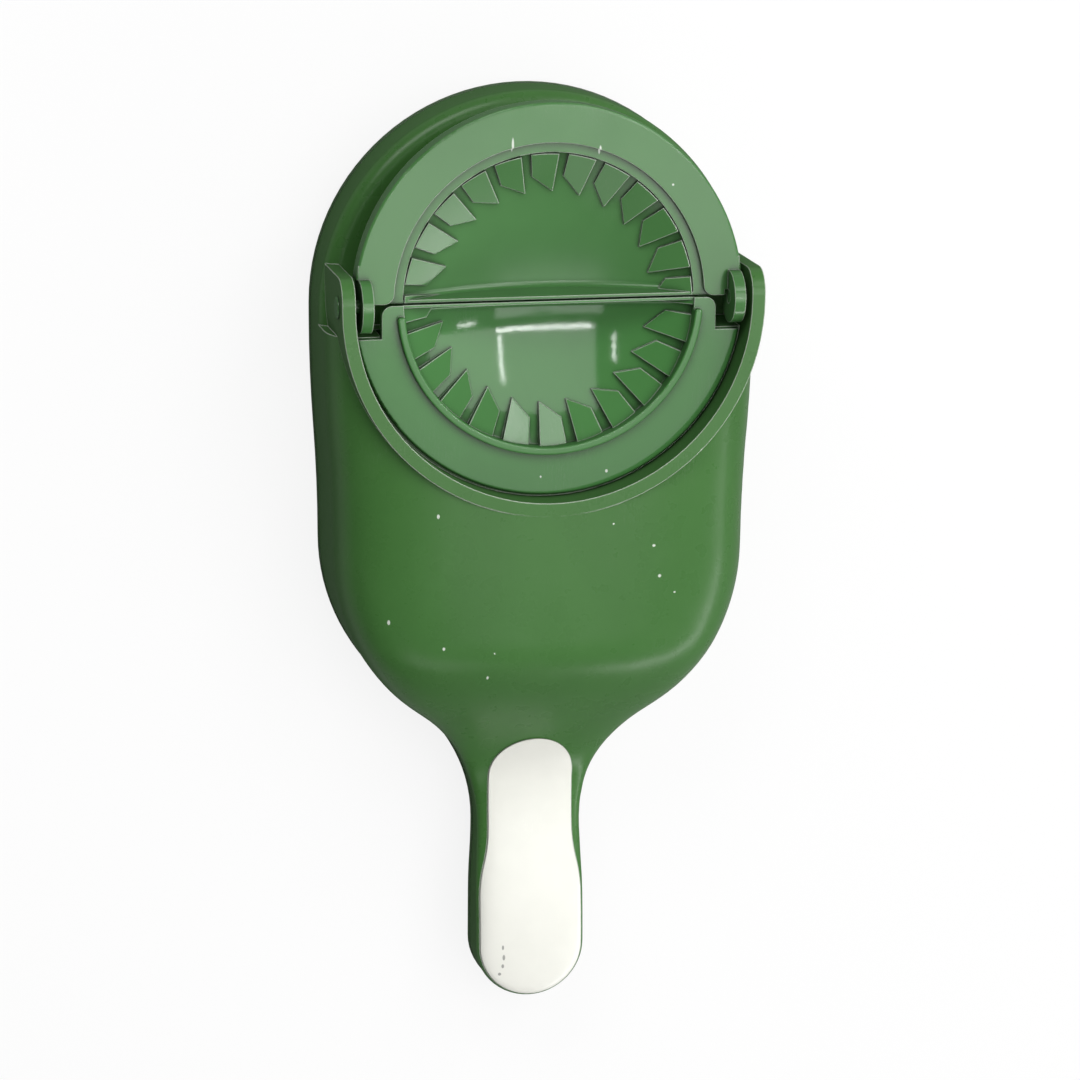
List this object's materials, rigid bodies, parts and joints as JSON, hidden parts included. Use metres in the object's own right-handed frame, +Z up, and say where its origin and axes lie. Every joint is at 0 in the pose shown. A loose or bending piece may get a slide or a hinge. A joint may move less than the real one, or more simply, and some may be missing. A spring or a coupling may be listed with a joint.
{
  "type": "folding samosa mold",
  "caption": "Hand paddle with a half-round toothed mould plate fixed in its body and a hinged leaf that folds over it to fill, fold and crimp a pastry.",
  "frame": {"origin": "on the foot's flat face, which stands on the table, under the middle of the hinge", "axes": "+Y along the paddle from the handle towards the mould end, +Z up, X along the hinge"},
  "size_m": [0.1284, 0.2784, 0.0504],
  "materials": {
    "body_green": "glossy moulded plastic",
    "mould_green": "glossy moulded plastic",
    "leaf_green": "satin moulded plastic",
    "pin_green": "glossy moulded plastic",
    "inlay_cream": "glossy moulded plastic",
    "cover_green": "satin moulded plastic",
    "screw_steel": "zinc plated"
  },
  "bodies": {
    "paddle": {"body_shell": "body_green", "near_mould_half": "mould_green", "hinge_pin_left": "pin_green", "hinge_pin_right": "pin_green", "handle_inlay": "inlay_cream", "base_cover": "cover_green", "cover_screws": "screw_steel"},
    "leaf": {"far_mould_half": "leaf_green"}
  },
  "joints": [
    {"name": "leaf_hinge", "type": "hinge", "parent": "paddle", "child": "leaf", "pos_m": [0, 0, 0.0428], "axis": [1, 0, 0], "range_deg": [0, 180]}
  ]
}
